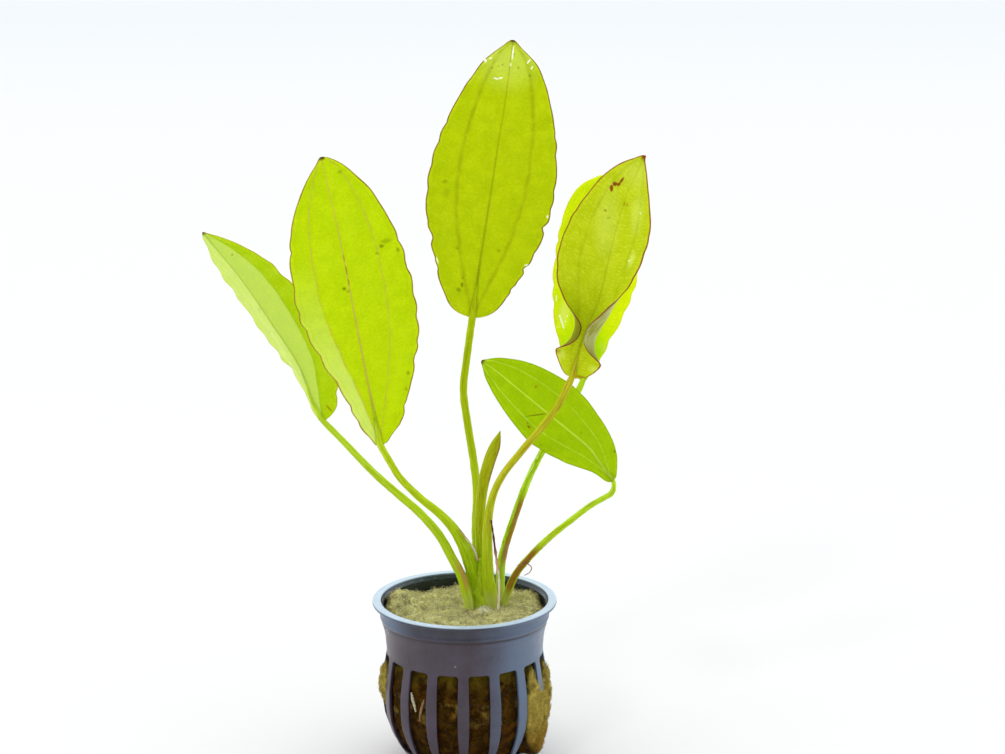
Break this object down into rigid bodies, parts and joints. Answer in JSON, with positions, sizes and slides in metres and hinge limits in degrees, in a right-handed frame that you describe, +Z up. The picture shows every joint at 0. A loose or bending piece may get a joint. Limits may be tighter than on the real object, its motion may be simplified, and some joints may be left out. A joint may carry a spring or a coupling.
{
  "type": "potted water plant",
  "caption": "Young water plant with broad stalked leaves, growing from rock wool in a small slotted net pot with a rim flange.",
  "frame": {"origin": "centre of the flat underside of the pot, which is the surface that the object rests on", "axes": "+Z up along the pot's axis, +X to the right in the picture, and the picture's camera looks along +Y"},
  "size_m": [0.1324, 0.0799, 0.2135],
  "materials": {
    "pot_plastic": "moulded blue-grey plastic, slightly glossy, with a few scuffs",
    "rock_wool": "damp, loose olive and beige mineral fibres",
    "leaf": "wet, glossy yellow-green leaf with tan veins and a thin red-brown margin",
    "leaf_olive": "wet, glossy olive leaf with pale cross veins and a red-brown margin",
    "stalk": "smooth, wet green stalk",
    "dried": "thin dried brown plant skin",
    "root": "smooth pale root"
  },
  "bodies": {
    "root": {"pot": "pot_plastic", "rock_wool": "rock_wool", "crown": "stalk", "blade_1": "leaf", "blade_2": "leaf", "blade_3": "leaf", "blade_4": "leaf_olive", "blade_5": "leaf", "blade_6": "leaf", "stalk_1": "stalk", "stalk_2": "stalk", "stalk_3": "stalk", "stalk_4": "stalk", "stalk_5": "stalk", "stalk_6": "stalk", "young_leaf": "leaf", "dry_sheath_left": "dried", "dry_sheath_right": "dried", "root_white": "root", "root_brown": "dried"}
  },
  "joints": []
}
